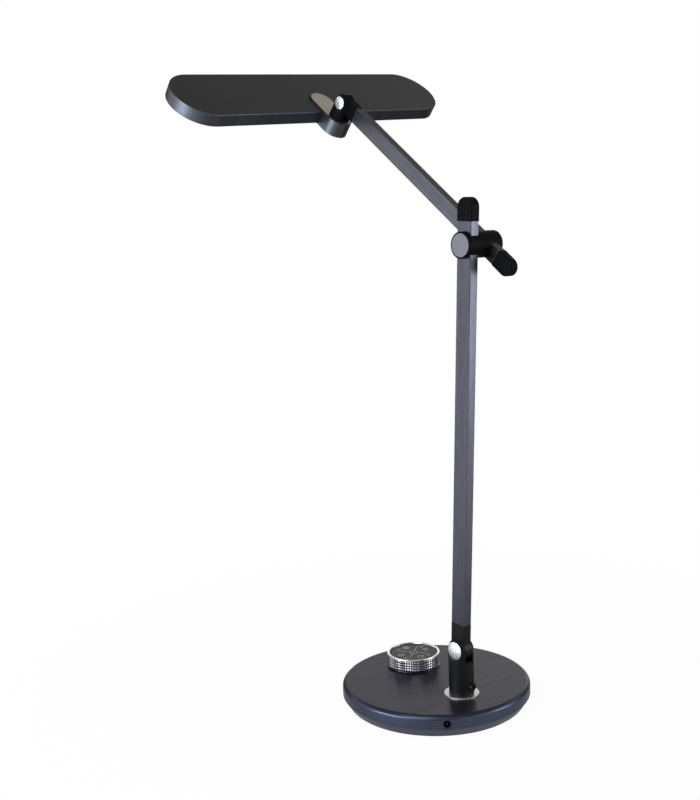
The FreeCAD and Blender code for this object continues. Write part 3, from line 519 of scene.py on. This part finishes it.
lacquer, tree, shader = finish("board_lacquer", metallic=0.0, roughness=0.35)
tracks = add(tree, "TexVoronoi", distance="MANHATTAN", feature="F1")
tracks.inputs["Scale"].default_value = tracks_per_metre
tree.links.new(add(tree, "TexCoord").outputs["Object"], tracks.inputs["Vector"])
toned(tree, shader, tracks.outputs["Distance"], lacquer_dark, lacquer_light)
roughened(tree, shader, tracks.outputs["Distance"], depth=0.00005, strength=0.5)
dress(lacquer, "control_board", "touch_board", "board_parts")

# Light board. A white-lacquered aluminium board screwed into the head, with two rows of
# emitters under yellow resin.
board_dark = (0.70, 0.70, 0.68)
board_light = (0.80, 0.80, 0.78)
faint_size = 0.006
resin_dark = (0.66, 0.52, 0.12)
resin_light = (0.82, 0.70, 0.28)
speck_size = 0.0006

white_lacquer, tree, shader = finish("light_board_lacquer", metallic=0.0, roughness=0.4)
toned(tree, shader, grain(tree, faint_size), board_dark, board_light)
dress(white_lacquer, "led_board")
resin, tree, shader = finish("emitter_resin", metallic=0.0, roughness=0.3)
toned(tree, shader, grain(tree, speck_size, detail=2), resin_dark, resin_light)
dress(resin, "leds")

# White plastic. The friction washers, the standoffs and the frame round the diffuser are
# smooth white mouldings.
moulding_dark = (0.72, 0.72, 0.70)
moulding_light = (0.82, 0.82, 0.80)
flow_size = 0.003

white, tree, shader = finish("white_moulding", metallic=0.0, roughness=0.45)
flow = grain(tree, flow_size)
toned(tree, shader, flow, moulding_dark, moulding_light)
roughened(tree, shader, flow, depth=0.00005, strength=0.3)
dress(
    white, "board_standoffs", "lower_friction_washers", "head_friction_washers",
    "joint_washer", "reflector_frame",
)

# Diffuser. A milky acrylic sheet that closes the light head below, satin outside and a
# little uneven in its whiteness.
milky_dark = (0.80, 0.80, 0.78)
milky_light = (0.88, 0.88, 0.87)
haze_size = (0.05, 0.02, 0.02)
satin_size = 0.0004
milky_depth = 0.003
milky_share = 0.15

milky, tree, shader = finish("milky_acrylic", metallic=0.0, roughness=0.35)
toned(tree, shader, grain(tree, haze_size, detail=2), milky_dark, milky_light)
shader.inputs["Subsurface Weight"].default_value = milky_share
shader.inputs["Subsurface Radius"].default_value = (milky_depth, milky_depth, milky_depth)
roughened(tree, shader, grain(tree, satin_size, detail=2), depth=0.00003, strength=0.3)
dress(milky, "diffuser")

# Swivel bush. A flanged bush of machined brass with a slight tarnish, let into the cover for
# the post's spindle to turn in.
brass_dark = (0.48, 0.34, 0.13)
brass_light = (0.68, 0.52, 0.24)
tarnish_size = 0.004

brass, tree, shader = finish("machined_brass", metallic=1.0, roughness=0.3)
toned(tree, shader, grain(tree, tarnish_size, detail=4), brass_dark, brass_light)
dress(brass, "swivel_bush")

# Black mouldings. The posts, knuckles, arm caps and joint housings, the knob's hub, the jack
# and the inserts are satin black plastic with a fine spark-eroded texture. The post and the
# lower arm's foot have more sheen.
black_dark = (0.0026, 0.0026, 0.0030)
black_light = (0.0046, 0.0046, 0.0052)
column_sheen = 0.2
black_sheen = 0.035
spark_size = 0.00035
patch_size = 0.02
black_roughness = (0.36, 0.5)


def moulded(name, sheen):
    """Black moulding with a fine spark texture and wider, shinier patches."""
    material, tree, shader = finish(name, metallic=0.0)
    shader.inputs["Specular IOR Level"].default_value = sheen
    patch = grain(tree, patch_size, detail=2)
    toned(tree, shader, patch, black_dark, black_light)
    feed(tree, shader.inputs["Roughness"], ranged(tree, patch, *black_roughness))
    roughened(tree, shader, grain(tree, spark_size, detail=2), depth=0.00003, strength=0.5)
    return material


dress(moulded("black_column", column_sheen), "post", "lower_knuckle")
dress(
    moulded("black_moulding", black_sheen), "lower_end_cap", "front_housing", "rear_housing",
    "upper_end_cap", "upper_knuckle", "head_post", "knob_hub", "hub_nut", "dc_jack",
    "lower_tube_insert", "upper_tube_insert", "pod_plug",
)

# Collar and pin caps. Polished chrome over pressed steel, with faint polishing swirls. The
# collar rings the post's foot, and the caps close both ends of each hinge's pin.
cap_chrome = (0.92, 0.92, 0.96)
cap_metallic = 0.75
collar_chrome = (0.68, 0.66, 0.66)
collar_metallic = 1.0
swirl_size = (0.003, 0.0006, 0.003)
chrome_roughness = (0.26, 0.4)


def polished(name, tone, metallic):
    """Chrome with faint polishing swirls."""
    material, tree, shader = finish(name, metallic)
    feed(tree, shader.inputs["Base Color"], tone)
    swirl = grain(tree, swirl_size)
    feed(tree, shader.inputs["Roughness"], ranged(tree, swirl, *chrome_roughness))
    roughened(tree, shader, swirl, depth=0.00002, strength=0.15)
    return material


dress(polished("cap_chrome", cap_chrome, cap_metallic), "lower_pivot_caps", "head_pivot_caps")
dress(polished("collar_chrome", collar_chrome, collar_metallic), "swivel_collar")

# Joint discs. Grey anodised aluminium let into the ends of the crossing joint, faced on a
# lathe.
disc_dark = (0.154, 0.158, 0.176)
disc_light = (0.187, 0.191, 0.211)
facing_size = 0.0006

faced, tree, shader = finish("faced_disc", metallic=1.0, roughness=0.38)
facing = grain(tree, facing_size)
toned(tree, shader, facing, disc_dark, disc_light)
roughened(tree, shader, facing, depth=0.00002, strength=0.3)
dress(faced, "joint_disc", "rear_disc")

# Arm tubes. Flat extruded aluminium, anodised grey and brushed from end to end, with streaks
# and short flecks that run the length of each tube. Both tubes are one anodise, and the upper
# one's tones are painted a shade paler as light.
lower_dark = (0.070, 0.072, 0.090)
lower_light = (0.128, 0.131, 0.162)
# The upper tube's tones are painted light: paler than the lower's, on the same anodise.
upper_lit_dark = (0.093, 0.092, 0.110)
upper_lit_light = (0.154, 0.153, 0.182)
hair_size = (0.0008, 0.0008, 0.25)
fleck_size = (0.0016, 0.0016, 0.022)
band_size = (0.005, 0.005, 0.3)
arm_roughness = (0.27, 0.35)


def arm_turn(start, end, axis):
    """The turn of an arm's own axes, with its pin along X and its length along Z."""
    across = Vector(axis).normalized()
    along = Vector(end) - Vector(start)
    along = (along - across * along.dot(across)).normalized()
    side = along.cross(across)
    return Matrix((across, side, along)).transposed().to_euler()


def arm_finish(name, turn, place, dark, light):
    """Brushed and anodised tube whose streaks follow its own length."""
    material, tree, shader = finish(name, metallic=1.0)
    hair = grain(tree, hair_size, detail=4, turn=turn, place=place)
    band = grain(tree, band_size, detail=2, turn=turn, place=place)
    fleck = grain(tree, fleck_size, detail=2, turn=turn, place=place)
    tone = mixed(tree, blended(tree, hair, fleck), dark, light)
    feed(tree, shader.inputs["Base Color"], tone)
    feed(tree, shader.inputs["Roughness"], ranged(tree, band, *arm_roughness))
    roughened(tree, shader, hair, depth=0.00001, strength=0.3)
    return material


lower_pin = hinges["lower_hinge"]["pos_m"]
elbow_pin = hinges["elbow"]["pos_m"]
tilt_pin = hinges["head_tilt"]["pos_m"]
pin_axis = hinges["lower_hinge"]["axis"]
lower_turn = arm_turn(lower_pin, elbow_pin, pin_axis)
upper_turn = arm_turn(elbow_pin, tilt_pin, pin_axis)
dress(arm_finish("lower_brushed", lower_turn, lower_pin, lower_dark, lower_light), "lower_tube")
dress(arm_finish("upper_brushed", upper_turn, elbow_pin, upper_lit_dark, upper_lit_light), "upper_tube")

# Light head and pod. Aluminium shells with a dark anodised coat and a very fine satin, brushed
# along the head.
head_dark = (0.074, 0.079, 0.097)
head_light = (0.124, 0.132, 0.160)
satin_line = (0.05, 0.0009, 1)
rib_size = (1, 1, 0.0011)
satin_share = 0.35
head_roughness = (0.32, 0.40)

head_turn = arm_turn((0, 0, 0), hinges["head_swivel"]["axis"], pin_axis)
shell, tree, shader = finish("head_satin", metallic=1.0)
fine = grain(tree, satin_line, detail=3, turn=head_turn, place=tilt_pin)
ribs = grain(tree, rib_size, detail=3, turn=head_turn, place=tilt_pin)
tone = mixed(tree, blended(tree, fine, ribs, satin_share), head_dark, head_light)
feed(tree, shader.inputs["Base Color"], tone)
feed(tree, shader.inputs["Roughness"], ranged(tree, fine, *head_roughness))
roughened(tree, shader, fine, depth=0.00001, strength=0.3)
dress(shell, "head_housing", "head_pod")

# Pod plate. A satin plate of aluminium, anodised in pale champagne and let into the top of
# the pod.
plate_dark = (0.76, 0.72, 0.675)
plate_light = (0.88, 0.84, 0.79)
sand_size = 0.0005

plate, tree, shader = finish("champagne_satin", metallic=1.0, roughness=0.4)
sand = grain(tree, sand_size)
toned(tree, shader, sand, plate_dark, plate_light)
roughened(tree, shader, sand, depth=0.00003, strength=0.35)
dress(plate, "pod_plate")

# Touch panel. A smoked glossy disc over the sensor board inside the knob, with a faint
# metallic depth under its face.
smoke_dark = (0.028, 0.022, 0.020)
smoke_light = (0.046, 0.038, 0.034)
smoke_size = 0.0006
smoke_sheen = 0.08

smoked, tree, shader = finish("smoked_panel", metallic=0.0, roughness=0.25)
toned(tree, shader, grain(tree, smoke_size), smoke_dark, smoke_light)
shader.inputs["Specular IOR Level"].default_value = smoke_sheen
dress(smoked, "touch_panel")

# Panel print. Pale outlines of four keys round a ring, printed a hair proud of the panel:
# power, brightness, colour and timer, each with two short curved marks beside it.
panel_low, panel_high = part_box("touch_panel")
panel_middle = (panel_low + panel_high) / 2
ink_dark = (0.36, 0.36, 0.38)
ink_light = (0.52, 0.52, 0.54)
ink_size = 0.0005
print_thickness = 0.00005
line_width = 0.0007
key_distance = 0.0170
key_radius = 0.0036
ring_radius = 0.0048
dash_half = 0.0016
divider_start = 0.0062
divider_end = 0.0190
mark_start = math.radians(24)
outer_mark = (0.0044, math.radians(16))
inner_mark = (0.0016, math.radians(12))
power_gap = math.radians(50)
power_bar = (0.0010, key_radius + 0.0006)
sun_radius = key_radius * 0.5
sun_ray = (key_radius * 0.72, key_radius * 1.1)
sun_rays = 8
chord_step = key_radius / 2
chord_share = 0.8
long_hand = key_radius * 0.7
short_hand = key_radius * 0.55
arc_steps = 40
full_turn = 2 * math.pi
quarter = math.pi / 2


def arc(bm, x, y, radius, start, sweep):
    """A curved line of the print, swept round a centre."""
    inner = bm.verts.new((x + radius - line_width / 2, y, 0))
    outer = bm.verts.new((x + radius + line_width / 2, y, 0))
    edge = bm.edges.new((inner, outer))
    turn = Matrix.Rotation(start, 3, "Z")
    bmesh.ops.rotate(bm, verts=[inner, outer], cent=(x, y, 0), matrix=turn)
    bmesh.ops.spin(
        bm, geom=[inner, outer, edge], cent=(x, y, 0), axis=(0, 0, 1), angle=sweep,
        steps=arc_steps, use_merge=sweep == full_turn,
    )


def line(bm, x, y, angle, start, end):
    """A straight line of the print, along an angle from a centre."""
    made = bmesh.ops.create_grid(bm, x_segments=1, y_segments=1, size=0.5)["verts"]
    bmesh.ops.scale(bm, verts=made, vec=(end - start, line_width, 1))
    bmesh.ops.translate(bm, verts=made, vec=((start + end) / 2, 0, 0))
    bmesh.ops.rotate(bm, verts=made, cent=(0, 0, 0), matrix=Matrix.Rotation(angle, 3, "Z"))
    bmesh.ops.translate(bm, verts=made, vec=(x, y, 0))


bm = bmesh.new()
# The middle ring with a dash, the lines that part the keys, and the marks beside them
arc(bm, 0, 0, ring_radius, 0, full_turn)
line(bm, 0, 0, 0, -dash_half, dash_half)
for number in range(4):
    line(bm, 0, 0, quarter * (number + 0.5), divider_start, divider_end)
    for beyond, sweep in (outer_mark, inner_mark):
        arc(bm, 0, 0, key_distance + beyond, quarter * number + mark_start, sweep)
# Power, an open ring with a bar
arc(bm, 0, key_distance, key_radius, quarter + power_gap / 2, full_turn - power_gap)
line(bm, 0, key_distance, quarter, *power_bar)
# Brightness, a small sun
arc(bm, -key_distance, 0, sun_radius, 0, full_turn)
for number in range(sun_rays):
    line(bm, -key_distance, 0, full_turn * number / sun_rays, *sun_ray)
# Colour, a hatched ring
arc(bm, 0, -key_distance, key_radius, 0, full_turn)
for step in (-1, 0, 1):
    half = math.sqrt(key_radius ** 2 - (step * chord_step) ** 2) * chord_share
    line(bm, step * chord_step, -key_distance, quarter, -half, half)
# Timer, a clock face
arc(bm, key_distance, 0, key_radius, 0, full_turn)
line(bm, key_distance, 0, quarter, 0, long_hand)
line(bm, key_distance, 0, 0, 0, short_hand)
# All of it raised by the print's thickness and laid on the panel
raised = bmesh.ops.extrude_face_region(bm, geom=bm.faces[:])["geom"]
lifted = [item for item in raised if isinstance(item, bmesh.types.BMVert)]
bmesh.ops.translate(bm, verts=lifted, vec=(0, 0, print_thickness))
bmesh.ops.translate(bm, verts=bm.verts[:], vec=(panel_middle.x, panel_middle.y, panel_high.z))
bmesh.ops.recalc_face_normals(bm, faces=bm.faces[:])
ink, tree, shader = finish("pale_ink", metallic=0.0, roughness=0.5)
toned(tree, shader, grain(tree, ink_size, detail=2), ink_dark, ink_light)
settle(bm, "panel_print", ink, "base")

# Knob ring. A turned ring of bright metal with a knurl of small square pyramids, between a
# polished lip above and a plain foot below. Painted shade darkens the grooves and the ring's
# inner faces and half darkens the foot, while the peaks keep the bright metal.
ring_low, ring_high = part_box("knob_ring")
ring_middle = (ring_low + ring_high) / 2
ring_outer = (ring_high.x - ring_low.x) / 2
lip_height = 0.0012
lip_blend = 0.0001
lip_round = 0.0005
foot_height = 0.0006
foot_inset = 0.0005
groove_depth = 0.0009
knurl_columns = 66
knurl_rows = 4
knurl_depth = 0.0009
knurl_crease = math.radians(24)
row_slack = 0.01
peak_width = 0.0002
panel_room = 0.0286
panel_gap = 0.0004
hub_room = 0.02635
# The tone of the grooves and inner faces is painted shade.
groove_painted_shade = (0.02, 0.02, 0.023)
polish_dark = (0.56, 0.56, 0.60)
polish_light = (0.84, 0.84, 0.89)
lip_tone = (0.92, 0.92, 0.94)
rub_size = (0.004, 0.004, 0.0008)
knurl_roughness = (0.14, 0.26)

shelf_level = panel_low.z - panel_gap
knurl_low = ring_low.z + foot_height + groove_depth
knurl_high = ring_high.z - lip_height - groove_depth
row_height = (knurl_high - knurl_low) / (2 * knurl_rows)
outline = [
    (ring_outer - groove_depth, ring_low.z + foot_height),
    (ring_outer - foot_inset, ring_low.z + foot_height - lip_round / 2),
    (ring_outer - foot_inset, ring_low.z + lip_round / 2),
    (ring_outer - foot_inset - lip_round / 2, ring_low.z),
    (hub_room, ring_low.z),
    (hub_room, shelf_level),
    (panel_room, shelf_level),
    (panel_room, ring_high.z - lip_round * 2),
    (panel_room + lip_round, ring_high.z - lip_round / 2),
    (panel_room + lip_round * 2, ring_high.z),
    (ring_outer - lip_round * 1.5, ring_high.z),
    (ring_outer - lip_round * 0.4, ring_high.z - lip_round * 0.4),
    (ring_outer, ring_high.z - lip_round * 1.5),
    (ring_outer, ring_high.z - lip_height),
    (ring_outer - groove_depth, ring_high.z - lip_height - groove_depth / 2),
]
rows = [knurl_high - row_height * number for number in range(2 * knurl_rows + 1)]
bm = bmesh.new()
corners = [bm.verts.new((radius, 0, level)) for radius, level in outline]
corners += [bm.verts.new((ring_outer, 0, level)) for level in rows]
sides = [bm.edges.new(pair) for pair in zip(corners, corners[1:] + corners[:1])]
bmesh.ops.spin(
    bm, geom=corners + sides, cent=(0, 0, 0), axis=(0, 0, 1), angle=full_turn,
    steps=2 * knurl_columns, use_merge=True,
)
# The wall is now a fine grid. A vertex odd by column and by row is a pyramid's peak, and the
# others sink into the grooves. A cut from peak to crossing then makes each pyramid's edges.
valleys = []
ridges = []
for vertex in bm.verts:
    row = (vertex.co.z - knurl_low) / row_height
    on_wall = vertex.co.xy.length > ring_outer - touching
    if on_wall and -row_slack < row < 2 * knurl_rows + row_slack:
        column = round(math.atan2(vertex.co.y, vertex.co.x) / full_turn * 2 * knurl_columns)
        between = (column % 2, round(row) % 2)
        if between != (1, 1):
            valleys.append(vertex)
        if between in ((0, 0), (1, 1)):
            ridges.append(vertex)
for vertex in valleys:
    vertex.co.xy *= 1 - knurl_depth / ring_outer
bmesh.ops.connect_verts(bm, verts=ridges)
bmesh.ops.translate(bm, verts=bm.verts[:], vec=(ring_middle.x, ring_middle.y, 0))
bmesh.ops.recalc_face_normals(bm, faces=bm.faces[:])
bright, tree, shader = finish("bright_knurl", metallic=1.0)
centred = add(tree, "VectorMath", operation="SUBTRACT")
centred.inputs[1].default_value = (ring_middle.x, ring_middle.y, 0)
flat = add(tree, "VectorMath", operation="MULTIPLY")
flat.inputs[1].default_value = (1, 1, 0)
tree.links.new(add(tree, "TexCoord").outputs["Object"], centred.inputs[0])
tree.links.new(centred.outputs["Vector"], flat.inputs[0])
distance = from_origin(tree, flat.outputs["Vector"])
# Painted shade: the metal darkens toward the grooves and inside the ring
peak = ranged(tree, distance, 0, 1, ring_outer - knurl_depth, ring_outer - peak_width)
rub = grain(tree, rub_size)
polish = mixed(tree, ranged(tree, rub, 0, 1), polish_dark, polish_light)
wall = mixed(tree, peak, groove_painted_shade, polish)
lip = above(tree, ring_high.z - lip_height, lip_blend)
feed(tree, shader.inputs["Base Color"], mixed(tree, lip, wall, lip_tone))
feed(tree, shader.inputs["Roughness"], ranged(tree, rub, *knurl_roughness))
knurled = settle(bm, "knurled_ring", bright, "knob")
knurled.data.polygons.foreach_set("use_smooth", [True] * len(knurled.data.polygons))
knurled.data.set_sharp_from_angle(angle=knurl_crease)
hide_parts("knob_ring")
